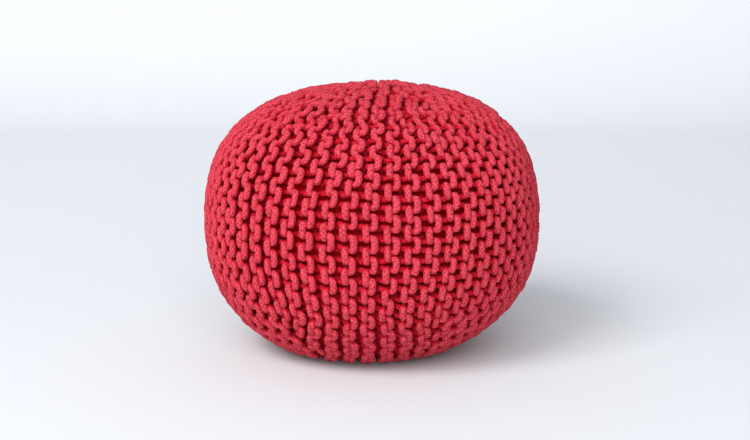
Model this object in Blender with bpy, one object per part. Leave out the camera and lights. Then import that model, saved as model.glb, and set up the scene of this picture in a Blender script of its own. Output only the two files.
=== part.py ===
"""Round floor pouf: one filled, ribbed cover of thick knitted cord, gathered at the crown.

Lengths are in metres and angles in radians. +Z is up, the front faces -Y, and the origin is
the centre of the flat base. The ribs are meridians: each one runs from the crown, over the
widest part and down to the base.
"""

import bpy
import numpy as np

# The filled form, a turned shape about the Z axis.
RADIUS = 0.200
CROWN_RISE = 0.1634
BELLY_DROP = 0.156
CROWN_POWERS = (2.527, 2.571)
BELLY_POWERS = (2.350, 1.517)
CONTACT_RADIUS = 0.080

# The ribs. Six like sectors hold nine ribs each, of several lengths, so that the cover narrows
# towards its two ends. A rib leaves off some stitches at the crown and some at the base.
SECTORS = 6
RIB_STARTS = (0, 2.5, 5.5, 1, 4, 4, 1, 5.5, 2.5)
RIB_ENDS = (0, 2, 3.5, 4.5, 7.5, 6.5, 5, 3, 1.5)
STITCHES = 24
END_ARC = 0.013
RIB_DEPTH = 0.0075
RIB_SWAY = 0.17
NARROW_RIB = 0.016
EASE_BEFORE = 0.9
EASE_AFTER = 0.6

# The pouf has settled out of true: its crown leans to the right and its base to the left.
CROWN_LEAN = 0.0055
BASE_LEAN = 0.0072

# The crown: the rib ends stand up in a ring of lumps round a small dimple, and the ribs meet
# a little to the right of the middle.
CROWN_TURN = np.radians(3.15)
LUMP_RISE = 0.0032
RIM_ARC = 0.0065
RIM_INSET = 0.0025
DIMPLE_DEPTH = 0.0085

PROFILE_SAMPLES = 2400
COVER_COLOR = (0.53, 0.028, 0.048, 1.0)


def clear_scene():
    """Remove every object of the startup scene."""
    for obj in list(bpy.data.objects):
        bpy.data.objects.remove(obj, do_unlink=True)


def power_curve(count, powers):
    """Quarter of a superellipse: heights and radii that both run from 0 to 1 and back."""
    turn = np.linspace(0.0, np.pi / 2, count)
    height = np.sin(turn) ** (2 / powers[0])
    radius = np.cos(turn) ** (2 / powers[1])
    return height, radius


def build_profile():
    """Meridian from the top of the axis down to the rim of the flat base.

    Returns the arc length, the radius and the height of its samples.
    """
    upper_height, upper_radius = power_curve(PROFILE_SAMPLES, CROWN_POWERS)
    lower_height, lower_radius = power_curve(PROFILE_SAMPLES, BELLY_POWERS)
    crown_radius = RADIUS * upper_radius[::-1]
    crown_height = BELLY_DROP + CROWN_RISE * upper_height[::-1]
    belly_radius = CONTACT_RADIUS + (RADIUS - CONTACT_RADIUS) * lower_radius
    belly_height = BELLY_DROP * (1 - lower_height)
    radius = np.concatenate([crown_radius, belly_radius[1:]])
    height = np.concatenate([crown_height, belly_height[1:]])
    steps = np.hypot(np.diff(radius), np.diff(height))
    arc = np.concatenate([[0.0], np.cumsum(steps)])
    return arc, radius, height


ARC, PROFILE_RADIUS, PROFILE_HEIGHT = build_profile()
FULL_ARC = ARC[-1] + CONTACT_RADIUS
PITCH = (FULL_ARC - 2 * END_ARC) / STITCHES


def smooth_step(value):
    """Rise from 0 to 1 with level ends."""
    value = np.clip(value, 0.0, 1.0)
    return value * value * (3 - 2 * value)


def rib_weights(arc):
    """How wide each of a sector's ribs is at this arc, as a part of its full width."""
    stitch = (arc - END_ARC) / PITCH
    begun = stitch - np.array(RIB_STARTS) + EASE_BEFORE
    left = STITCHES - stitch - np.array(RIB_ENDS) + EASE_BEFORE
    ease = EASE_BEFORE + EASE_AFTER
    weights = smooth_step(begun / ease) * smooth_step(left / ease)
    # The longest rib of a sector keeps its width all the way.
    weights[0] = 1.0
    return weights


def ribs_at(step):
    """Numbers of the sector's ribs that reach this half stitch, counted from the crown."""
    left = 2 * STITCHES - step
    lengths = zip(RIB_STARTS, RIB_ENDS)
    return [rib for rib, (start, end) in enumerate(lengths) if step >= 2 * start and left >= 2 * end]


def surface_point(arc, azimuth, inset):
    """Points of the form, set in by a length along the outward direction.

    The cover sits a little turned on its filling, fully at the crown and not at the base.
    """
    turn = CROWN_TURN * np.cos(np.pi * arc / FULL_ARC / 2) ** 4
    polar = np.pi * arc / FULL_ARC
    x = np.sin(polar) * np.sin(azimuth)
    y = -np.sin(polar) * np.cos(azimuth)
    z = np.full_like(azimuth, np.cos(polar))
    turned_x = x * np.cos(turn) + z * np.sin(turn)
    turned_z = z * np.cos(turn) - x * np.sin(turn)
    flat = np.maximum(np.hypot(turned_x, y), 1e-9)
    turned_arc = np.arctan2(flat, turned_z) / np.pi * FULL_ARC
    radius = np.interp(turned_arc, ARC, PROFILE_RADIUS)
    height = np.interp(turned_arc, ARC, PROFILE_HEIGHT)
    slope_r = np.interp(turned_arc + 0.001, ARC, PROFILE_RADIUS) - radius
    slope_z = np.interp(turned_arc + 0.001, ARC, PROFILE_HEIGHT) - height
    length = np.maximum(np.hypot(slope_r, slope_z), 1e-9)
    out_r, out_z = -slope_z / length, slope_r / length
    radius = radius - inset * out_r
    height = height - inset * out_z
    return np.stack([radius * turned_x / flat, radius * y / flat, height], axis=1)


def leaned(points):
    """The points moved sideways, more the further they are above or below the widest part."""
    above = np.clip((points[:, 2] - BELLY_DROP) / CROWN_RISE, 0.0, None)
    below = np.clip((BELLY_DROP - points[:, 2]) / BELLY_DROP, 0.0, 1.0)
    moved = points.copy()
    moved[:, 0] += CROWN_LEAN * above**4 - BASE_LEAN * below**3
    return moved


def ring_points(step):
    """One ring of the cover: a valley and a crest for each rib that reaches this half stitch.

    Each crest sways to the left and to the right in turn, as the loops of a knitted ridge do.
    The longest rib of each sector stays on one meridian, and the others close up towards it.
    """
    arc = END_ARC + step * PITCH / 2
    weights = rib_weights(arc)
    sector = 2 * np.pi / SECTORS
    edges = np.concatenate([[0.0], np.cumsum(weights)]) / weights.sum() * sector
    edges -= edges[1] / 2
    profile_radius = np.interp(arc, ARC, PROFILE_RADIUS)
    sway = -RIB_SWAY if step % 2 else RIB_SWAY
    crest_inset = -LUMP_RISE if step == 0 else 0.0
    azimuths = []
    insets = []
    for rib in ribs_at(step):
        width = edges[rib + 1] - edges[rib]
        fullness = min(1.0, width * profile_radius / NARROW_RIB)
        azimuths += [edges[rib], edges[rib] + width * (0.5 + sway)]
        insets += [RIB_DEPTH * fullness, crest_inset]
    azimuth = np.add.outer(sector * np.arange(SECTORS), np.array(azimuths)).ravel()
    return surface_point(arc, azimuth, np.tile(np.array(insets), SECTORS))


def contact_ring(last_step):
    """The rim of the flat base, with a point for each point of the last ribbed ring."""
    points = ring_points(last_step)
    flat = np.hypot(points[:, 0], points[:, 1])
    rim = points * (CONTACT_RADIUS / flat)[:, None]
    rim[:, 2] = 0.0
    return rim


def rib_keys(step):
    """A name for each point of a ring: its sector, its rib, and 0 for a valley or 1 for a crest."""
    ribs = ribs_at(step)
    return [(turn, rib, part) for turn in range(SECTORS) for rib in ribs for part in (0, 1)]


def quad_triangles(corners, from_upper_left):
    """Two triangles of a quad, given as upper left, lower left, lower right, upper right."""
    a, b, c, d = corners
    if from_upper_left:
        return [(a, b, c), (a, c, d)]
    return [(a, b, d), (b, c, d)]


def join_rings(upper_keys, lower_keys, upper_first, lower_first, step):
    """Triangles between two rings, facing outward. Either ring may lack some of the other's ribs.

    Going round once, each move is along the ring whose next point comes first. A quad is cut
    so that the creases fan out from the crest that sways to its side.
    """
    every_key = sorted(set(upper_keys) | set(lower_keys))
    order = {key: number for number, key in enumerate(every_key)}
    upper = [order[key] for key in upper_keys] + [len(order)]
    lower = [order[key] for key in lower_keys] + [len(order)]
    faces = []
    a, b = 0, 0
    while a < len(upper_keys) or b < len(lower_keys):
        here_upper = upper_first + a % len(upper_keys)
        here_lower = lower_first + b % len(lower_keys)
        next_upper = upper_first + (a + 1) % len(upper_keys)
        next_lower = lower_first + (b + 1) % len(lower_keys)
        if a < len(upper_keys) and b < len(lower_keys) and upper[a + 1] == lower[b + 1]:
            corners = (here_upper, here_lower, next_lower, next_upper)
            faces += quad_triangles(corners, from_upper_left=step % 2 == 0)
            a += 1
            b += 1
        elif a < len(upper_keys) and (b == len(lower_keys) or upper[a + 1] < lower[b + 1]):
            faces.append((here_upper, here_lower, next_upper))
            a += 1
        else:
            faces.append((here_upper, here_lower, next_lower))
            b += 1
    return faces


def build_cover():
    """The whole cover as points and faces, from the crown's dimple down to the flat base."""
    last_step = int((ARC[-1] - 0.35 * PITCH - END_ARC) / (PITCH / 2))
    steps = list(range(last_step + 1))
    middle = surface_point(0.0, np.zeros(1), DIMPLE_DEPTH)
    rim_azimuth = np.pi * (np.arange(2 * SECTORS) - 1) / SECTORS
    rim = surface_point(RIM_ARC, rim_azimuth, RIM_INSET)
    rings = [rim] + [ring_points(step) for step in steps] + [contact_ring(last_step)]
    keys = [rib_keys(0)] + [rib_keys(step) for step in steps] + [rib_keys(last_step)]
    firsts = 1 + np.concatenate([[0], np.cumsum([len(ring) for ring in rings])])
    faces = [(0, 1 + spot, 1 + (spot + 1) % len(rim)) for spot in range(len(rim))]
    for row in range(len(rings) - 1):
        upper_first, lower_first = int(firsts[row]), int(firsts[row + 1])
        faces += join_rings(keys[row], keys[row + 1], upper_first, lower_first, row - 1)
    base_first = int(firsts[len(rings) - 1])
    faces.append(tuple(range(base_first + len(rings[-1]) - 1, base_first - 1, -1)))
    return leaned(np.concatenate([middle] + rings)), faces


def make_material():
    """Dyed cotton cord: matt, with a soft sheen."""
    material = bpy.data.materials.new("cotton_cord")
    material.use_nodes = True
    shader = material.node_tree.nodes["Principled BSDF"]
    shader.inputs["Base Color"].default_value = COVER_COLOR
    shader.inputs["Roughness"].default_value = 0.9
    shader.inputs["Sheen Weight"].default_value = 0.3
    shader.inputs["Metallic"].default_value = 0.0
    return material


def main():
    clear_scene()
    points, faces = build_cover()
    mesh = bpy.data.meshes.new("cover")
    mesh.from_pydata(points.tolist(), [], faces)
    mesh.update()
    mesh.shade_smooth()
    cover = bpy.data.objects.new("cover", mesh)
    cover.data.materials.append(make_material())
    bpy.context.scene.collection.objects.link(cover)


main()
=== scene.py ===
"""Looks of a round knitted pouf: garter stitch in thick cotton cord over a filled form.

Lengths are in metres and angles in radians. +Z is up and the front faces -Y. The cord is
made stitch by stitch: the two rows of each ridge are one closed run of loops, laid on the
form by its arc from the crown, its azimuth and its depth under the outermost loops.
"""

import logging
import math
from dataclasses import dataclass
from enum import Enum

import bpy
import numpy as np
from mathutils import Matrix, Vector


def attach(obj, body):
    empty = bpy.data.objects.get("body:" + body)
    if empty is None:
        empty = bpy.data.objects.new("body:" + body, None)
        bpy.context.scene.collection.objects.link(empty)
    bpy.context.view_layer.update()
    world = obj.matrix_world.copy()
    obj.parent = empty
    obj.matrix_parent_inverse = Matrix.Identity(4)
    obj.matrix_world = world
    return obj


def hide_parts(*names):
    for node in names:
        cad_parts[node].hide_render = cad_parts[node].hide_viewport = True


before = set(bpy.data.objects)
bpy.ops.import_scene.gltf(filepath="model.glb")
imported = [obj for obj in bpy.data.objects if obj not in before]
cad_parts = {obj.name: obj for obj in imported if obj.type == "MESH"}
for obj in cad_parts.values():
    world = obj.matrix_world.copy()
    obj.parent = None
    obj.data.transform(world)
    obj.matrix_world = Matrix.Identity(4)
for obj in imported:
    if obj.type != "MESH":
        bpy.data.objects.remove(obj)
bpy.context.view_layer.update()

BODY = "root"
CAD_NODE = "cover"
MM = 0.001
TINY = 1e-9
HAND_SEED = 54
POUF_MIDDLE = (0.0, 0.0, 0.15)

# The cord's profile is turned evenly: each direction is averaged over this many samples on
# each side, with a bell curve of this spread in samples.
EASE_STEPS = 3
EASE_SPREAD = 1.5

logging.basicConfig(level=logging.INFO, format="%(message)s")
LOG = logging.getLogger("pouf")


def smooth_step(value: np.ndarray) -> np.ndarray:
    """Rise from 0 to 1 with level ends.

    Args:
        value: Any numbers; below 0 and above 1 they count as 0 and 1.

    Returns:
        3 v^2 - 2 v^3 of each value v.
    """
    value = np.clip(value, 0.0, 1.0)
    return value * value * (3.0 - 2.0 * value)


def srgb(hex_colour: str) -> tuple[float, float, float, float]:
    """Turn an sRGB hex colour into linear red, green, blue and alpha.

    Args:
        hex_colour: Six hex digits after a hash sign.

    Returns:
        The linear colour, with alpha 1.
    """
    parts = [int(hex_colour[i : i + 2], 16) / 255.0 for i in (1, 3, 5)]
    linear = [c / 12.92 if c <= 0.04045 else ((c + 0.055) / 1.055) ** 2.4 for c in parts]
    return (linear[0], linear[1], linear[2], 1.0)


def add_node(
    tree: bpy.types.NodeTree, kind: str, settings: dict | None = None, links: dict | None = None
) -> bpy.types.Node:
    """Add one shader node with its settings and its incoming links.

    Args:
        tree: The node tree that gets the node.
        kind: The node's type name.
        settings: Values by name; a name of the node's own property sets that, and any other
            name or number is an input socket.
        links: Output sockets by the name or number of the input that they feed.

    Returns:
        The new node.
    """
    node = tree.nodes.new(kind)
    for name, value in (settings or {}).items():
        if isinstance(name, str) and hasattr(node, name):
            setattr(node, name, value)
        else:
            node.inputs[name].default_value = value
    for name, socket in (links or {}).items():
        tree.links.new(socket, node.inputs[name])
    return node


def mesh_object(
    name: str,
    points: np.ndarray,
    quads: np.ndarray,
    uvs: np.ndarray | None = None,
    depths: np.ndarray | None = None,
) -> bpy.types.Object:
    """Make a smooth-shaded mesh object from arrays.

    Args:
        name: The object's name.
        points: One row of x, y, z for each point.
        quads: One row of four point numbers for each face, counter-clockwise from outside.
        uvs: One row of u, v for each face corner, or None.
        depths: How far each point lies under the outermost loops, in metres, or None.

    Returns:
        The object, linked to the scene, with its place in its mesh.
    """
    mesh = bpy.data.meshes.new(name)
    mesh.vertices.add(len(points))
    mesh.vertices.foreach_set("co", points.astype(np.float32).ravel())
    mesh.loops.add(quads.size)
    mesh.loops.foreach_set("vertex_index", quads.astype(np.int32).ravel())
    mesh.polygons.add(len(quads))
    mesh.polygons.foreach_set("loop_start", np.arange(0, quads.size, 4, dtype=np.int32))
    if uvs is not None:
        layer = mesh.uv_layers.new(name="along_cord")
        layer.data.foreach_set("uv", uvs.astype(np.float32).ravel())
    if depths is not None:
        attribute = mesh.attributes.new("depth", "FLOAT", "POINT")
        attribute.data.foreach_set("value", depths.astype(np.float32))
    mesh.update(calc_edges=True)
    mesh.validate()
    mesh.shade_smooth()
    thing = bpy.data.objects.new(name, mesh)
    bpy.context.scene.collection.objects.link(thing)
    return thing


@dataclass(frozen=True)
class PoufForm:
    """The filled form, as the solid has it: a turned shape that has settled a little out of true.

    Attributes:
        radius: Radius at the widest part.
        crown_rise: Height of the crown over the widest part.
        belly_drop: Height of the widest part over the floor.
        crown_powers: Powers of the outline's upper quarter, for its height and its radius.
        belly_powers: Powers of its lower quarter.
        contact_radius: Radius of the flat base.
        crown_lean: How far the crown leans to the right.
        base_lean: How far the base stands to the left.
        crown_turn: Angle by which the cover has slipped to the right at its crown.
        samples: Samples of each part of the outline.
        slope_reach: Arc on each side of a point over which the outline's slope is taken.
    """

    radius: float = 0.200
    crown_rise: float = 0.1634
    belly_drop: float = 0.156
    crown_powers: tuple[float, float] = (2.527, 2.571)
    belly_powers: tuple[float, float] = (2.350, 1.517)
    contact_radius: float = 0.080
    crown_lean: float = 0.0055
    base_lean: float = 0.0072
    crown_turn: float = math.radians(3.15)
    samples: int = 1200
    slope_reach: float = 0.004

    def meridian(self) -> tuple[np.ndarray, np.ndarray, np.ndarray]:
        """Work out the outline of the form from the top of the axis to the middle of the base.

        Above and below the widest part it is a quarter of a superellipse: height sin(t)^(2/p)
        and radius cos(t)^(2/q). A level line closes the base.

        Returns:
            The arc length, the radius and the height of each sample.
        """
        turn = np.linspace(0.0, np.pi / 2, self.samples)
        rise = np.sin(turn) ** (2 / self.crown_powers[0])
        reach = np.cos(turn) ** (2 / self.crown_powers[1])
        drop = np.sin(turn) ** (2 / self.belly_powers[0])
        belly = np.cos(turn) ** (2 / self.belly_powers[1])
        belly_radius = self.contact_radius + (self.radius - self.contact_radius) * belly
        base_radius = np.linspace(self.contact_radius, 0.0, self.samples)[1:]
        radius = np.concatenate([self.radius * reach[::-1], belly_radius[1:], base_radius])
        height = np.concatenate(
            [
                self.belly_drop + self.crown_rise * rise[::-1],
                self.belly_drop * (1 - drop[1:]),
                np.zeros(self.samples - 1),
            ]
        )
        steps = np.hypot(np.diff(radius), np.diff(height))
        return np.concatenate([[0.0], np.cumsum(steps)]), radius, height

    def full_arc(self) -> float:
        """Return the arc from the top of the axis to the middle of the base."""
        return float(self.meridian()[0][-1])

    def radius_at(self, arc: np.ndarray) -> np.ndarray:
        """Return the form's radius at each arc from the crown."""
        lengths, radii, _ = self.meridian()
        return np.interp(arc, lengths, radii)

    def place(self, arc: np.ndarray, azimuth: np.ndarray, depth: np.ndarray) -> np.ndarray:
        """Lay points on the form.

        The arc is turned into a polar angle, the sphere of those angles is turned about the
        Y axis, most at the crown, and each point goes back to the outline, inward by its
        depth along the outline's normal, and sideways with the form's lean.

        Args:
            arc: Arc from the middle of the knitting's crown.
            azimuth: Angle round the pouf, 0 at the front, growing to the right.
            depth: Distance under the outermost loops.

        Returns:
            Positions, one row for each point.
        """
        lengths, radii, heights = self.meridian()
        full = lengths[-1]
        polar = np.pi * arc / full
        turn = self.crown_turn * np.cos(np.clip(polar / 2, 0.0, np.pi / 2)) ** 4
        x = np.sin(polar) * np.sin(azimuth)
        y = -np.sin(polar) * np.cos(azimuth)
        z = np.cos(polar)
        turned_x = x * np.cos(turn) + z * np.sin(turn)
        turned_z = z * np.cos(turn) - x * np.sin(turn)
        flat = np.maximum(np.hypot(turned_x, y), TINY)
        turned_arc = np.arctan2(flat, turned_z) / np.pi * full
        ahead = np.clip(turned_arc + self.slope_reach, 0.0, full)
        behind = np.clip(turned_arc - self.slope_reach, 0.0, full)
        slope_r = np.interp(ahead, lengths, radii) - np.interp(behind, lengths, radii)
        slope_z = np.interp(ahead, lengths, heights) - np.interp(behind, lengths, heights)
        size = np.maximum(np.hypot(slope_r, slope_z), TINY)
        radius = np.interp(turned_arc, lengths, radii) + depth * slope_z / size
        height = np.interp(turned_arc, lengths, heights) - depth * slope_r / size
        above = np.clip((height - self.belly_drop) / self.crown_rise, 0.0, None)
        below = np.clip((self.belly_drop - height) / self.belly_drop, 0.0, 1.0)
        lean = self.crown_lean * above**4 - self.base_lean * below**3
        return np.stack([radius * turned_x / flat + lean, radius * y / flat, height], axis=-1)


@dataclass(frozen=True)
class GarterGauge:
    """How the cover is knitted: six like sectors, of nine ridges from the crown to the base.

    Attributes:
        sectors: Like sectors round the pouf.
        rib_starts: Stitches that each ridge of a sector leaves off at the crown.
        rib_ends: Stitches that it leaves off at the base.
        stitches: Stitches of the longest ridge, from pole to pole.
        end_arc: Arc from each pole at which the longest ridges end.
        ease_before: Stitches before a ridge's end in which its width begins to swell.
        ease_after: Stitches after the end by which it is full.
        cord_radius: Radius of the cord in its heads.
        leg_squeeze: How much thinner the cord is pulled between its heads.
        narrow_squeeze: How much thinner it is pulled where a ridge is narrow.
        cord_sides: Sides of the cord's profile.
        loop_samples: Samples of the cord's middle line for each stitch.
        turn_samples: Samples of each turn between two rows.
        loop_depth: Half the depth between the heads in front and those behind.
        loop_swell: How far the heads are drawn out along the row.
        swell_loss: Share of that which fully bent loops lose.
        head_spread: Distance between the two rows' heads in a full ridge.
        least_spread: The least that it comes down to.
        most_share: The most of a ridge's width that it may take.
        full_width: Width from which a ridge counts as full.
        half_width: Width up to which it counts as narrow.
        narrowing: How much of a ridge's lost width the heads give up.
        back_reach: How far from the ridge's middle the heads behind lie, as a share of the
            ridge's width.
        dive: Angles from the middle of a head at which it begins and ends its dive.
        late_dive: How much later fully bent heads dive.
        straight_at: Stitch, counted from the crown, where the heads are straightest.
        straight_reach: Stitches on each side of it where they stay so.
        bent_reach: Stitches after those over which they become most bent.
        least_bent: How bent the straightest heads are, as a share.
        most_bent: How bent the others become.
        cross_left: Angle at which a left head starts to cross over.
        cross_right: Angle at which a right head starts to cross over.
        sooner_cross: Share of that angle which fully bent heads lose.
        leg_offset: How much deeper the left row's crossings lie. The right row's lie less
            deep by as much.
        left_lean: How far a left head leans, as a share of the ridge's width.
        crown_lump: How far the last loops stand up round the crown's middle.
        lump_stitches: Stitches from the crown by which that has faded.
        turn_reach: How far the cord turns beyond a row's end, in stitches.
        narrow_roughness: How much more unevenly the narrow parts are knitted.
        uneven_along: Unevenness of the loops along their row.
        uneven_across: Unevenness across it, as a share of the ridge's width.
        uneven_depth: Unevenness of their depth.
        uneven_cord: Unevenness of the cord's radius along it, as a share.
        swell_samples: Samples between one swelling of the cord and the next.
        plait_roughness: Unevenness of the cord's skin, as a share of its radius.
    """

    sectors: int = 6
    rib_starts: tuple[float, ...] = (0, 2.5, 5.5, 1, 4, 4, 1, 5.5, 2.5)
    rib_ends: tuple[float, ...] = (0, 2, 3.5, 4.5, 7.5, 6.5, 5, 3, 1.5)
    stitches: int = 24
    end_arc: float = 0.013
    ease_before: float = 0.9
    ease_after: float = 0.6
    cord_radius: float = 0.0041
    leg_squeeze: float = 0.21
    narrow_squeeze: float = 0.08
    cord_sides: int = 8
    loop_samples: int = 30
    turn_samples: int = 10
    loop_depth: float = 0.0070
    loop_swell: float = 0.0041
    swell_loss: float = 0.45
    head_spread: float = 0.0096
    least_spread: float = 0.0044
    most_share: float = 0.5
    full_width: float = 0.0232
    half_width: float = 0.0150
    narrowing: float = 0.30
    back_reach: float = 0.70
    dive: tuple[float, float] = (math.radians(28.0), math.radians(74.0))
    late_dive: float = math.radians(12.0)
    straight_at: float = 12.5
    straight_reach: float = 2.0
    bent_reach: float = 4.5
    least_bent: float = 0.18
    most_bent: float = 0.78
    cross_left: float = math.radians(36.0)
    cross_right: float = math.radians(22.0)
    sooner_cross: float = 0.75
    leg_offset: float = 0.0025
    left_lean: float = 0.030
    crown_lump: float = 0.0034
    lump_stitches: float = 1.3
    turn_reach: float = 0.30
    narrow_roughness: float = 1.5
    uneven_along: float = 1.0 * MM
    uneven_across: float = 0.030
    uneven_depth: float = 0.55 * MM
    uneven_cord: float = 0.045
    swell_samples: int = 16
    plait_roughness: float = 0.050

    def pitch(self, form: PoufForm) -> float:
        """Return the arc that one stitch takes along its row on the form."""
        return (form.full_arc() - 2 * self.end_arc) / self.stitches

    def edges(self, arc: np.ndarray, form: PoufForm) -> np.ndarray:
        """Work out where the ridges of a sector begin and end at each arc.

        A ridge's width swells from nothing to full over a stitch and a half at each end, and
        the widths of a sector are scaled to fill it. The longest ridge of the first sector
        lies in the middle of the front, and the others close up towards the longest ones.

        Args:
            arc: Arcs from the crown.
            form: The form that the knitting lies on.

        Returns:
            Azimuths, one row for each arc, of the edges between the ridges.
        """
        stitch = (arc - self.end_arc) / self.pitch(form)
        ease = self.ease_before + self.ease_after
        begun = stitch[:, None] - np.array(self.rib_starts) + self.ease_before
        left = self.stitches - stitch[:, None] - np.array(self.rib_ends) + self.ease_before
        weights = smooth_step(begun / ease) * smooth_step(left / ease)
        weights[:, 0] = 1.0
        sector = 2 * np.pi / self.sectors
        ends = np.cumsum(weights, axis=1) / weights.sum(axis=1, keepdims=True) * sector
        edges = np.concatenate([np.zeros((len(arc), 1)), ends], axis=1)
        return edges - edges[:, 1:2] / 2


@dataclass(frozen=True)
class Wave:
    """One slow wave over the cover.

    Attributes:
        size: Its height, as a share of the tallest wave's.
        turns: Whole waves round the pouf.
        slant: Angle that it gains over each metre of arc.
        phase: Angle at which it starts.
    """

    size: float
    turns: int
    slant: float
    phase: float

    def at(self, arc: np.ndarray, azimuth: np.ndarray) -> np.ndarray:
        """Return size sin(turns azimuth + slant arc + phase) at each point."""
        return self.size * np.sin(self.turns * azimuth + self.slant * arc + self.phase)


@dataclass(frozen=True)
class HandWander:
    """How the rows wander, as those of hand knitting do.

    Attributes:
        along_waves: Waves that move the stitches along their rows.
        along_size: How far the tallest of them moves a stitch.
        along_shift: Steady move of all the stitches towards the crown.
        round_waves: Waves that move the rows round the pouf.
        round_size: How far the tallest of them moves a row.
        round_shift: Steady turn of all the rows to the left, as an angle.
        pole_fade: Arc from each pole within which the waves round the pouf fade out.
        least_radius: Radius inside which they grow no further as an angle.
    """

    along_waves: tuple[Wave, ...] = (Wave(1.0, 3, 21.0, 0.7), Wave(0.8, 7, -34.0, 2.1))
    along_size: float = 1.3 * MM
    along_shift: float = 4.0 * MM
    round_waves: tuple[Wave, ...] = (Wave(1.0, 2, -27.0, 1.3), Wave(0.7, 5, 44.0, 0.0))
    round_size: float = 1.4 * MM
    round_shift: float = 0.009
    pole_fade: float = 0.07
    least_radius: float = 0.03

    def move(
        self, form: PoufForm, arc: np.ndarray, azimuth: np.ndarray
    ) -> tuple[np.ndarray, np.ndarray]:
        """Move points of the knitting with the waves.

        The waves along the rows fade out at both poles, and those round the pouf keep their
        size in millimetres until close to a pole.

        Args:
            form: The form that the knitting lies on.
            arc: Arc of each point.
            azimuth: Azimuth of each point.

        Returns:
            The arcs, moved by up to about 6 mm, and the azimuths, moved by up to about 4 mm
            at the widest part.
        """
        full = form.full_arc()
        fade = np.sin(np.pi * np.clip(arc / full, 0.0, 1.0)) ** 2
        clear = smooth_step(np.minimum(arc, full - arc) / self.pole_fade)
        waves = sum(wave.at(arc, azimuth) for wave in self.along_waves)
        moved_arc = arc + fade * (self.along_size * waves - self.along_shift)
        sway = sum(wave.at(arc, azimuth) for wave in self.round_waves)
        angle = self.round_size * clear / np.maximum(form.radius_at(arc), self.least_radius)
        return moved_arc, azimuth + angle * sway - self.round_shift * fade


class RowSide(Enum):
    """Which side of its ridge's middle a row shows its heads on, as the sign of that side."""

    LEFT = -1.0
    RIGHT = 1.0


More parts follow.
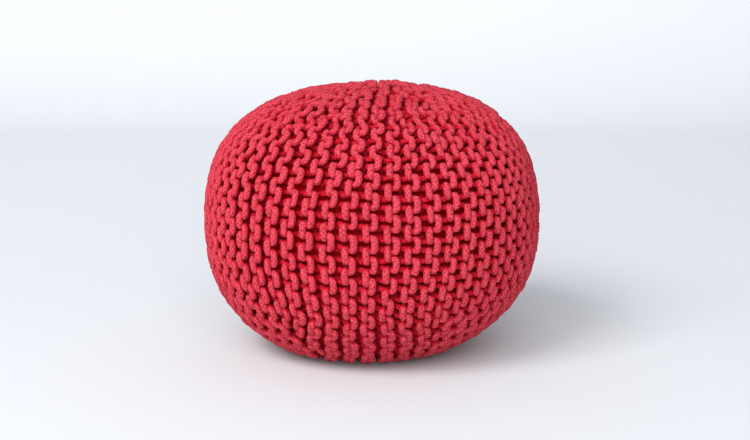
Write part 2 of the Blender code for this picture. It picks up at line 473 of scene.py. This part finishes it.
class KnittedCover:
    """The knitted cord, one closed run of loops for each ridge."""

    def __init__(
        self, form: PoufForm, gauge: GarterGauge, wander: HandWander, seed: int
    ) -> None:
        """Keep what the cord is laid out by.

        Args:
            form: The form that the knitting lies on.
            gauge: How the cover is knitted.
            wander: How its rows wander.
            seed: Start of the random draws for the hand's unevenness.
        """
        self.form = form
        self.gauge = gauge
        self.wander = wander
        self.random = np.random.default_rng(seed)
        self.pitch = gauge.pitch(form)

    def uneven(self, steps: np.ndarray, count: int, size: float) -> np.ndarray:
        """Draw a smooth uneven run: random values at whole steps, joined with level ends.

        Args:
            steps: Position of each sample, in steps.
            count: How many steps the run has.
            size: Standard deviation of the values.

        Returns:
            One value for each sample.
        """
        values = self.random.normal(0.0, size, count + 3)
        whole = np.clip(np.floor(steps).astype(int), 0, count + 1)
        part = smooth_step(steps - whole)
        return values[whole] * (1 - part) + values[whole + 1] * part

    def bending(self, stitch: np.ndarray) -> np.ndarray:
        """Work out how bent the heads are: least near the widest part, most towards the poles.

        Args:
            stitch: Stitches from the crown.

        Returns:
            A share from 0 for a straight head to 1 for a hook.
        """
        gauge = self.gauge
        from_belly = np.abs(stitch - gauge.straight_at)
        bent = smooth_step((from_belly - gauge.straight_reach) / gauge.bent_reach)
        return gauge.least_bent + (gauge.most_bent - gauge.least_bent) * bent

    def head_share(self, width: np.ndarray) -> np.ndarray:
        """Work out the distance between the two rows' heads.

        Args:
            width: Width of the ridge, in metres.

        Returns:
            The distance, as a share of that width.
        """
        gauge = self.gauge
        spread = gauge.head_spread - gauge.narrowing * (gauge.full_width - width)
        spread = np.clip(spread, gauge.least_spread, gauge.head_spread)
        return np.minimum(spread / np.maximum(width, TINY), gauge.most_share)

    def row(self, rib: int, row_side: RowSide) -> tuple[np.ndarray, ...]:
        """Lay out one row of loops in the fabric's own directions.

        A loop is followed by its angle t from the middle of its head in front, over the
        middle of its head behind at 180 degrees. Along the row it moves by pitch t / 2 pi +
        swell sin 2t, so that the heads are long and straight. The head dives first, and only
        then crosses to the other side, level and under the loops of the other row. Towards
        the crown and the base the heads are shorter and cross sooner than they dive, which
        makes the two rows of a ridge one chain of hooks.

        Args:
            rib: Number of the ridge in its sector.
            row_side: Which side of the ridge's middle its heads in front lie on.

        Returns:
            The arc, the share of the ridge's width, the depth, and the cord's radius at each
            sample.
        """
        gauge = self.gauge
        skipped = gauge.rib_starts[rib]
        last = gauge.stitches - gauge.rib_ends[rib]
        samples = round((last - skipped) * gauge.loop_samples) + 1
        turn = 2 * np.pi * np.linspace(skipped, last, samples)
        stitch = turn / (2 * np.pi)
        half_steps = turn / np.pi
        count = 2 * gauge.stitches
        bent = self.bending(stitch)
        side = row_side.value
        if row_side is RowSide.LEFT:
            first, begin = np.pi, gauge.cross_left
            lean = gauge.left_lean * np.sin(turn)
        else:
            first, begin = 0.0, gauge.cross_right
            lean = 0.0

        along = gauge.end_arc + self.pitch * turn / (2 * np.pi)
        along = along + gauge.loop_swell * (1 - gauge.swell_loss * bent) * np.sin(2 * turn)
        edges = gauge.edges(along, self.form)
        width = (edges[:, rib + 1] - edges[:, rib]) * self.form.radius_at(along)
        narrow = 1 - smooth_step((width - gauge.half_width) / (gauge.full_width - gauge.half_width))
        rough = 1 + gauge.narrow_roughness * narrow
        along = along + rough * self.uneven(half_steps, count, gauge.uneven_along)

        from_head = np.abs((turn - first + np.pi) % (2 * np.pi) - np.pi)
        begin = begin * (1 - gauge.sooner_cross * bent)
        crossed = smooth_step((from_head - begin) / (np.pi - 2 * begin))
        front = 0.5 + side * self.head_share(width) / 2
        behind = 0.5 - side * gauge.back_reach
        across = front + (behind - front) * crossed - lean
        across = across + rough * self.uneven(half_steps, count, gauge.uneven_across)

        from_either = np.minimum(from_head, np.pi - from_head)
        dive = gauge.dive[0] + gauge.late_dive * bent
        raised = 1 - smooth_step((from_either - dive) / (gauge.dive[1] - gauge.dive[0]))
        facing = np.where(from_head < np.pi / 2, -1.0, 1.0)
        depth = gauge.loop_depth + gauge.cord_radius + facing * gauge.loop_depth * raised
        depth = depth - side * gauge.leg_offset * (1 - raised)
        depth = depth + rough * np.abs(self.uneven(half_steps, count, gauge.uneven_depth))
        if skipped == 0:
            depth = depth - gauge.crown_lump * smooth_step(gauge.lump_stitches - stitch)

        squeeze = gauge.leg_squeeze * (1 - raised * (from_head < np.pi / 2))
        radius = gauge.cord_radius * (1 - squeeze) * (1 - gauge.narrow_squeeze * narrow)
        return along, across, depth, radius

    def turning(
        self, first: tuple[float, ...], last: tuple[float, ...], outward: float
    ) -> tuple[np.ndarray, ...]:
        """Join two row ends with half a sine wave beyond them, easing across and through.

        Args:
            first: Arc, share, depth and radius where the cord leaves a row.
            last: Arc, share, depth and radius where it enters the next.
            outward: Signed reach of the half wave along the rows.

        Returns:
            The same four of the samples between the two.
        """
        part = np.linspace(0.0, 1.0, self.gauge.turn_samples + 2)[1:-1]
        blend = smooth_step(part)
        along = first[0] + (last[0] - first[0]) * part + outward * np.sin(np.pi * part)
        across = first[1] + (last[1] - first[1]) * blend
        depth = first[2] + (last[2] - first[2]) * blend
        return along, across, depth, first[3] + (last[3] - first[3]) * blend

    def ridge_path(self, sector: int, rib: int) -> tuple[np.ndarray, np.ndarray, np.ndarray]:
        """Lay the closed run of cord that makes one ridge: a row down, a turn, a row up, a turn.

        Args:
            sector: Number of the sector.
            rib: Number of the ridge in it.

        Returns:
            Positions of the cord's middle line, its depths, and its radii.
        """
        down = self.row(rib, RowSide.LEFT)
        up = tuple(values[::-1] for values in self.row(rib, RowSide.RIGHT))
        reach = self.gauge.turn_reach * self.pitch
        low = self.turning(tuple(v[-1] for v in down), tuple(v[0] for v in up), reach)
        high = self.turning(tuple(v[-1] for v in up), tuple(v[0] for v in down), -reach)
        joined = [np.concatenate(parts) for parts in zip(down, low, up, high)]
        along, across, depth, radius = joined
        edges = self.gauge.edges(along, self.form)
        width = edges[:, rib + 1] - edges[:, rib]
        azimuth = edges[:, rib] + across * width + sector * 2 * np.pi / self.gauge.sectors
        along, azimuth = self.wander.move(self.form, along, azimuth)
        return self.form.place(along, azimuth, depth), depth, radius

    def profile_axes(
        self, path: np.ndarray, outward: np.ndarray
    ) -> tuple[np.ndarray, np.ndarray]:
        """Stand the cord's profile square to a closed path.

        The first direction is the part of the pouf's outward direction that is square to the
        path, averaged over its neighbours by a bell curve so that it turns without a jump.

        Args:
            path: Positions of the middle line, the last joined to the first.
            outward: Unit direction out of the pouf at each of them.

        Returns:
            Two unit directions at each point, square to the path and to each other.
        """
        tangent = np.roll(path, -1, axis=0) - np.roll(path, 1, axis=0)
        tangent /= np.linalg.norm(tangent, axis=1, keepdims=True)
        first = np.cross(tangent, np.cross(outward, tangent))
        steps = range(-EASE_STEPS, EASE_STEPS + 1)
        weights = np.exp(-0.5 * (np.array(steps) / EASE_SPREAD) ** 2)
        eased = sum(w * np.roll(first, k, axis=0) for k, w in zip(steps, weights))
        eased -= tangent * np.sum(eased * tangent, axis=1, keepdims=True)
        eased /= np.maximum(np.linalg.norm(eased, axis=1, keepdims=True), TINY)
        return eased, np.cross(tangent, eased)

    def skin_map(self, path: np.ndarray) -> np.ndarray:
        """Map a tube's corners in metres, along the cord and round it.

        Args:
            path: Positions of the tube's middle line.

        Returns:
            One row of u, v for each corner of each quad.
        """
        sides = self.gauge.cord_sides
        shape = (len(path), sides)
        lengths = np.linalg.norm(np.roll(path, -1, axis=0) - path, axis=1)
        travelled = np.concatenate([[0.0], np.cumsum(lengths)])
        girth = 2 * np.pi * self.gauge.cord_radius
        here = np.broadcast_to(travelled[:-1, None], shape)
        there = np.broadcast_to(travelled[1:, None], shape)
        low = np.broadcast_to(np.arange(sides)[None, :] / sides * girth, shape)
        high = low + girth / sides
        corners = ((here, low), (here, high), (there, high), (there, low))
        return np.stack([np.stack(corner, -1) for corner in corners], axis=2).reshape(-1, 2)

    def tube(
        self, path: np.ndarray, depth: np.ndarray, radius: np.ndarray
    ) -> tuple[np.ndarray, np.ndarray, np.ndarray, np.ndarray]:
        """Carry a round profile along a closed path.

        The cord swells and thins a little along its length, and its plaited skin makes each
        point's radius uneven. What would reach under the floor is pressed flat on it.

        Args:
            path: Positions of the middle line, the last joined to the first.
            depth: Depth of the middle line at each of them.
            radius: Radius of the cord at each of them.

        Returns:
            Points, quads, the corners' UV in metres, along the cord and round it, and the
            depth of each point.
        """
        gauge = self.gauge
        sides = gauge.cord_sides
        count = len(path)
        outward = path - np.array([0.0, 0.0, self.form.belly_drop])
        outward /= np.linalg.norm(outward, axis=1, keepdims=True)
        first, second = self.profile_axes(path, outward)
        swells = np.arange(count) / gauge.swell_samples
        radius = radius * (
            1 + self.uneven(swells, count // gauge.swell_samples + 1, gauge.uneven_cord)
        )
        angle = np.arange(sides) / sides * 2 * np.pi
        circle = (
            np.cos(angle)[None, :, None] * first[:, None, :]
            + np.sin(angle)[None, :, None] * second[:, None, :]
        )
        plaited = 1 + self.random.normal(0.0, gauge.plait_roughness, (count, sides))
        points = path[:, None, :] + (radius[:, None] * plaited)[:, :, None] * circle
        points[:, :, 2] = np.maximum(points[:, :, 2], 0.0)
        ring = np.arange(count)[:, None]
        spot = np.arange(sides)[None, :]
        after = (ring + 1) % count
        beside = (spot + 1) % sides
        quads = np.stack(
            [
                ring * sides + spot,
                ring * sides + beside,
                after * sides + beside,
                after * sides + spot,
            ],
            axis=-1,
        ).reshape(-1, 4)
        upright = np.sum(circle * outward[:, None, :], axis=2)
        point_depths = depth[:, None] - radius[:, None] * upright
        return points.reshape(-1, 3), quads, self.skin_map(path), point_depths.ravel()

    def build(self, material: bpy.types.Material) -> list[bpy.types.Object]:
        """Knit every sector as one piece.

        Args:
            material: The cord's finish.

        Returns:
            The pieces, one for each sector.
        """
        pieces = []
        for sector in range(self.gauge.sectors):
            ridges = []
            first = 0
            for rib in range(len(self.gauge.rib_starts)):
                points, quads, uvs, depths = self.tube(*self.ridge_path(sector, rib))
                ridges.append((points, quads + first, uvs, depths))
                first += len(points)
            joined = [np.concatenate(parts) for parts in zip(*ridges)]
            piece = mesh_object(f"knitting_{sector + 1}", *joined)
            piece.data.materials.append(material)
            pieces.append(piece)
        return pieces


@dataclass(frozen=True)
class KnitGround:
    """The close back of the knitting over the filling, seen only between the loops.

    Attributes:
        depth: How far it lies under the outermost loops.
        rings: Bands of faces from pole to pole.
        segments: Faces round each band.
    """

    depth: float = 0.0165
    rings: int = 72
    segments: int = 120

    def build(self, form: PoufForm, material: bpy.types.Material) -> bpy.types.Object:
        """Build the ground as a closed shell at one depth under the loops.

        Args:
            form: The form that it follows.
            material: Its finish.

        Returns:
            The piece.
        """
        full = form.full_arc()
        arc = np.linspace(0.0, full, self.rings + 1)[1:-1]
        azimuth = np.arange(self.segments) / self.segments * 2 * np.pi
        grid_arc, grid_azimuth = np.meshgrid(arc, azimuth, indexing="ij")
        depth = np.full(grid_arc.size, self.depth)
        wall = form.place(grid_arc.ravel(), grid_azimuth.ravel(), depth)
        ends = form.place(np.array([0.0, full]), np.zeros(2), np.full(2, self.depth))
        ring = np.arange(self.rings - 2)[:, None] * self.segments
        spot = np.arange(self.segments)[None, :]
        beside = (spot + 1) % self.segments
        quads = np.stack(
            [
                ring + spot,
                ring + self.segments + spot,
                ring + self.segments + beside,
                ring + beside,
            ],
            axis=-1,
        ).reshape(-1, 4)
        mesh = bpy.data.meshes.new("knit_ground")
        last = (self.rings - 2) * self.segments
        spot, beside = spot.ravel(), beside.ravel()
        top = np.stack([np.full_like(spot, len(wall)), spot, beside], axis=1)
        bottom = np.stack([np.full_like(spot, len(wall) + 1), last + beside, last + spot], axis=1)
        faces = quads.tolist() + top.tolist() + bottom.tolist()
        mesh.from_pydata(np.concatenate([wall, ends]).tolist(), [], faces)
        mesh.update()
        mesh.shade_smooth()
        piece = bpy.data.objects.new("knit_ground", mesh)
        bpy.context.scene.collection.objects.link(piece)
        piece.data.materials.append(material)
        return piece


@dataclass(frozen=True)
class CottonCord:
    """Dyed cotton cord with a knitted tube for a skin: matt, speckled where its stitches meet.

    The outermost loops get a paler colour, a painted highlight, and the colour turns darker and
    deeper red between the loops as painted shade; the dimples of the skin are painted darker too.

    Attributes:
        highlight_colour: Paler colour of the outermost loops, a painted highlight.
        side: Colour of the cord's sides, the first step of painted shade.
        flank: Darker colour farther in, painted shade.
        deep: Darkest colour between the loops, painted shade.
        speckle: Darker colour in the dimples of the skin, painted shade.
        shallow: Depth where the run of colours starts.
        deepest: Depth where it ends, in the deep colour.
        highlight_until: Share of the way between them where the painted highlight's colour ends.
        side_at: Share of it where the side's colour is reached.
        flank_at: Share of it where the flank's colour is reached.
        speckle_relief: Relief at which the painted shade of the dimples begins, and where it is
            strongest.
        speckle_share: How much of the colour the dimples' painted shade takes at most.
        stitch_along: Length of the skin's stitches.
        stitches_round: How many of them lie side by side in one girth.
        girth: About the length once round the cord.
        lattice_share: How much the stitches add to the relief.
        tuft_density: Tufts of loose fibres to a metre, each about 1.9 mm wide. Single fibres
            are too fine to show in the picture, so tufts stand for them.
        tuft_share: How much the tufts add to the relief.
        relief_height: Height that the relief stands for.
        sheen: Colour of the fuzz seen from the side.
    """

    highlight_colour: str = "#D64856"
    side: str = "#C9182E"
    flank: str = "#B80A21"
    deep: str = "#980414"
    speckle: str = "#7C0418"
    shallow: float = 0.4 * MM
    deepest: float = 16.0 * MM
    highlight_until: float = 0.10
    side_at: float = 0.34
    flank_at: float = 0.60
    speckle_relief: tuple[float, float] = (0.90, 0.50)
    speckle_share: float = 0.8
    stitch_along: float = 5.0 * MM
    stitches_round: int = 5
    girth: float = 24.0 * MM
    lattice_share: float = 0.20
    tuft_density: float = 0.52 / MM
    tuft_share: float = 1.5
    relief_height: float = 1.0 * MM
    sheen: str = "#FF4055"

    def skin(self, tree: bpy.types.NodeTree) -> bpy.types.NodeSocket:
        """Work out the relief of the cord's skin: about 0.75, less in a dimple, more on a stitch.

        A sine along the cord times a cosine round it gives a lattice of small stitches, and
        noise breaks it up as tufts of loose fibres do.

        Args:
            tree: The material's node tree.

        Returns:
            The socket that gives the relief.
        """
        uv = add_node(tree, "ShaderNodeUVMap", {"uv_map": "along_cord"})
        axes = add_node(tree, "ShaderNodeSeparateXYZ", links={0: uv.outputs["UV"]})
        scales = (
            2 * math.pi / self.stitch_along,
            2 * math.pi * self.stitches_round / self.girth,
        )
        along, around = (
            add_node(
                tree, "ShaderNodeMath", {"operation": "MULTIPLY", 1: scale}, {0: axis}
            ).outputs[0]
            for scale, axis in zip(scales, (axes.outputs["X"], axes.outputs["Y"]))
        )
        along_wave = add_node(tree, "ShaderNodeMath", {"operation": "SINE"}, {0: along})
        around_wave = add_node(tree, "ShaderNodeMath", {"operation": "COSINE"}, {0: around})
        lattice = add_node(
            tree,
            "ShaderNodeMath",
            {"operation": "MULTIPLY"},
            {0: along_wave.outputs[0], 1: around_wave.outputs[0]},
        )
        place = add_node(tree, "ShaderNodeTexCoord")
        tufts = add_node(
            tree,
            "ShaderNodeTexNoise",
            {"Scale": self.tuft_density, "Detail": 3.0, "Roughness": 0.7},
            {"Vector": place.outputs["Object"]},
        )
        relief = add_node(
            tree,
            "ShaderNodeMath",
            {"operation": "MULTIPLY", 1: self.lattice_share},
            {0: lattice.outputs[0]},
        )
        return add_node(
            tree,
            "ShaderNodeMath",
            {"operation": "MULTIPLY_ADD", 1: self.tuft_share},
            {0: tufts.outputs["Fac"], 2: relief.outputs[0]},
        ).outputs[0]

    def depth_shade(self, tree: bpy.types.NodeTree) -> bpy.types.NodeSocket:
        """Work out the colour from the depth under the outermost loops: a painted highlight
        outermost, and painted shade deeper in.

        Args:
            tree: The material's node tree.

        Returns:
            The socket that gives the colour.
        """
        depth = add_node(
            tree, "ShaderNodeAttribute", {"attribute_type": "GEOMETRY", "attribute_name": "depth"}
        )
        inward = add_node(
            tree,
            "ShaderNodeMapRange",
            {"From Min": self.shallow, "From Max": self.deepest, "To Min": 0.0, "To Max": 1.0},
            {"Value": depth.outputs["Fac"]},
        )
        # Painted highlight on the outermost loops, then painted shade that grows darker and deeper
        # red with depth.
        colours = add_node(tree, "ShaderNodeValToRGB", links={"Fac": inward.outputs[0]})
        stops = colours.color_ramp.elements
        stops[0].color = srgb(self.highlight_colour)
        stops[1].color = srgb(self.deep)
        stops.new(self.highlight_until).color = srgb(self.highlight_colour)
        stops.new(self.side_at).color = srgb(self.side)
        stops.new(self.flank_at).color = srgb(self.flank)
        return colours.outputs["Color"]

    def build(self) -> bpy.types.Material:
        """Build the cord's material from its UV, in metres along and round the cord, and its depth.

        Returns:
            The material.
        """
        material = bpy.data.materials.new("cotton_cord")
        material.use_nodes = True
        tree = material.node_tree
        skin = self.skin(tree)
        start, strongest = self.speckle_relief
        # Painted shade: the lower the skin's relief, the more the colour goes to the darker speckle
        # colour.
        shade = add_node(
            tree,
            "ShaderNodeMapRange",
            {
                "From Min": start,
                "From Max": strongest,
                "To Min": 0.0,
                "To Max": self.speckle_share,
            },
            {"Value": skin},
        )
        colour = add_node(
            tree,
            "ShaderNodeMix",
            {"data_type": "RGBA", 7: srgb(self.speckle)},
            {0: shade.outputs[0], 6: self.depth_shade(tree)},
        )
        bump = add_node(
            tree,
            "ShaderNodeBump",
            {"Strength": 1.0, "Distance": self.relief_height},
            {"Height": skin},
        )
        shader = tree.nodes["Principled BSDF"]
        tree.links.new(colour.outputs[2], shader.inputs["Base Color"])
        tree.links.new(bump.outputs[0], shader.inputs["Normal"])
        shader.inputs["Roughness"].default_value = 0.8
        shader.inputs["Sheen Weight"].default_value = 0.06
        shader.inputs["Sheen Roughness"].default_value = 0.6
        shader.inputs["Sheen Tint"].default_value = srgb(self.sheen)
        shader.inputs["Specular IOR Level"].default_value = 0.08
        return material


@dataclass(frozen=True)
class KnitBack:
    """The same dyed cotton between the loops, darkened as painted shade.

    Attributes:
        light: Its lighter colour.
        dark: Its darker colour.
        patch_density: Patches to a metre in which the two are mixed, each about 3.3 mm wide.
    """

    light: str = "#A8000A"
    dark: str = "#7A0006"
    patch_density: float = 0.3 / MM

    def build(self) -> bpy.types.Material:
        """Build the material: flat cotton darkened as painted shade, with a fine unevenness.

        Returns:
            The material.
        """
        material = bpy.data.materials.new("cotton_knit_back")
        material.use_nodes = True
        tree = material.node_tree
        shader = tree.nodes["Principled BSDF"]
        place = add_node(tree, "ShaderNodeTexCoord")
        patches = add_node(
            tree,
            "ShaderNodeTexNoise",
            {"Scale": self.patch_density, "Detail": 2.0},
            {"Vector": place.outputs["Object"]},
        )
        # Painted shade: both colours are far darker than the cord's own red.
        colour = add_node(
            tree,
            "ShaderNodeMix",
            {"data_type": "RGBA", 6: srgb(self.dark), 7: srgb(self.light)},
            {0: patches.outputs["Fac"]},
        )
        tree.links.new(colour.outputs[2], shader.inputs["Base Color"])
        shader.inputs["Roughness"].default_value = 1.0
        shader.inputs["Specular IOR Level"].default_value = 0.0
        return material


@dataclass(frozen=True)
class SoftLight:
    """One square soft white light.

    Attributes:
        name: Its name.
        place: Position of its middle.
        target: Point that it faces.
        size: Length of its side.
        power: Its power in watts.
    """

    name: str
    place: tuple[float, float, float]
    target: tuple[float, float, float]
    size: float
    power: float

    def hang(self) -> None:
        """Add the light to the scene, turned to its target."""
        lamp = bpy.data.lights.new(self.name, "AREA")
        lamp.energy = self.power
        lamp.size = self.size
        thing = bpy.data.objects.new(self.name, lamp)
        thing.location = self.place
        aim = Vector(self.target) - Vector(self.place)
        thing.rotation_euler = aim.to_track_quat("-Z", "Y").to_euler()
        bpy.context.scene.collection.objects.link(thing)


@dataclass(frozen=True)
class Studio:
    """Pale sweep, soft lights and the camera.

    Attributes:
        floor_colour: Colour of the sweep.
        sweep_front: Where the floor begins, towards the camera.
        sweep_back: Where it begins to curve up.
        sweep_bend: Radius of the curve.
        sweep_height: Height of the backdrop.
        sweep_half: Half the sweep's width.
        bend_samples: Samples of the curve.
        lights: The soft lights: one at the left, one above and behind the camera, and one high
            behind the pouf that faces the backdrop.
        air_colour: Colour of the even light all round.
        air_strength: Its strength.
        camera_distance: Distance of the camera from the point that it faces.
        camera_elevation: Angle at which it looks down.
        sensor_width: Width of its sensor in millimetres.
        focal_pixels: Its focal length in pixels of the picture.
        aim_height: Height of the point that it faces, on the pouf's axis.
        aim_pixel: Where that point lies in the picture, from its upper left corner.
        image: Width and height of the picture in pixels.
    """

    floor_colour: str = "#DADDE0"
    sweep_front: float = -6.0
    sweep_back: float = 2.2
    sweep_bend: float = 0.9
    sweep_height: float = 3.0
    sweep_half: float = 5.0
    bend_samples: int = 24
    lights: tuple[SoftLight, ...] = (
        SoftLight("key", (-2.50, -3.00, 3.55), POUF_MIDDLE, 2.3, 178.0),
        SoftLight("fill", (-0.60, -5.9, 2.9), POUF_MIDDLE, 5.4, 430.0),
        SoftLight("backdrop_light", (0.0, 1.2, 3.2), (0.0, 3.1, 2.66), 2.4, 26.0),
    )
    air_colour: str = "#F4F7FF"
    air_strength: float = 0.42
    camera_distance: float = 1.8
    camera_elevation: float = math.radians(10.0)
    sensor_width: float = 36.0
    focal_pixels: float = 1502.6
    aim_height: float = 0.156
    aim_pixel: tuple[float, float] = (371.8, 218.8)
    image: tuple[int, int] = (750, 440)

    def floor(self) -> bpy.types.Object:
        """Build the floor and the backdrop as one sweep with a wide curve between them.

        Returns:
            The sweep.
        """
        turn = np.linspace(0.0, np.pi / 2, self.bend_samples)
        curve_y = self.sweep_back + self.sweep_bend * np.sin(turn)
        curve_z = self.sweep_bend * (1 - np.cos(turn))
        y = np.concatenate([[self.sweep_front], curve_y, [self.sweep_back + self.sweep_bend]])
        z = np.concatenate([[0.0], curve_z, [self.sweep_height]])
        left = np.stack([np.full_like(y, -self.sweep_half), y, z], axis=1)
        right = left * np.array([-1.0, 1.0, 1.0])
        count = len(y)
        low = np.arange(count - 1)
        quads = np.stack([low, low + count, low + count + 1, low + 1], axis=1)
        sweep = mesh_object("studio_sweep", np.concatenate([left, right]), quads)
        # Matt paper takes soft shadows and has next to no shine.
        material = bpy.data.materials.new("matt_paper")
        material.use_nodes = True
        shader = material.node_tree.nodes["Principled BSDF"]
        shader.inputs["Base Color"].default_value = srgb(self.floor_colour)
        shader.inputs["Roughness"].default_value = 0.85
        shader.inputs["Specular IOR Level"].default_value = 0.2
        sweep.data.materials.append(material)
        return sweep

    def surroundings(self) -> None:
        """Fill the room with even pale light, and show its brightness without a film curve."""
        world = bpy.data.worlds.new("studio_air")
        world.use_nodes = True
        sky = world.node_tree.nodes["Background"]
        sky.inputs["Color"].default_value = srgb(self.air_colour)
        sky.inputs["Strength"].default_value = self.air_strength
        bpy.context.scene.world = world
        bpy.context.scene.view_settings.view_transform = "Standard"

    def camera(self) -> None:
        """Set the camera at the photograph's angle, with a shift of a few pixels."""
        lens = bpy.data.cameras.new("camera")
        lens.sensor_width = self.sensor_width
        lens.lens = self.focal_pixels / self.image[0] * lens.sensor_width
        lens.shift_x = (self.image[0] / 2 - self.aim_pixel[0]) / self.image[0]
        lens.shift_y = -(self.image[1] / 2 - self.aim_pixel[1]) / self.image[0]
        thing = bpy.data.objects.new("camera", lens)
        flat = self.camera_distance * math.cos(self.camera_elevation)
        rise = self.camera_distance * math.sin(self.camera_elevation)
        thing.location = (0.0, -flat, self.aim_height + rise)
        aim = Vector((0.0, 0.0, self.aim_height)) - thing.location
        thing.rotation_euler = aim.to_track_quat("-Z", "Y").to_euler()
        bpy.context.scene.collection.objects.link(thing)
        bpy.context.scene.camera = thing

    def build(self) -> None:
        """Build the floor, the lights and the camera."""
        self.floor()
        for light in self.lights:
            light.hang()
        self.surroundings()
        self.camera()


def main() -> None:
    """Build the pouf and its studio, and report each piece's face count."""
    form = PoufForm()
    Studio().build()
    cover = KnittedCover(form, GarterGauge(), HandWander(), HAND_SEED)
    pieces = cover.build(CottonCord().build())
    ground = KnitGround().build(form, KnitBack().build())
    for piece in pieces + [ground]:
        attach(piece, BODY)
        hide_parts(CAD_NODE)
        LOG.info("%s: %d faces", piece.name, len(piece.data.polygons))


if __name__ == "__main__":
    main()
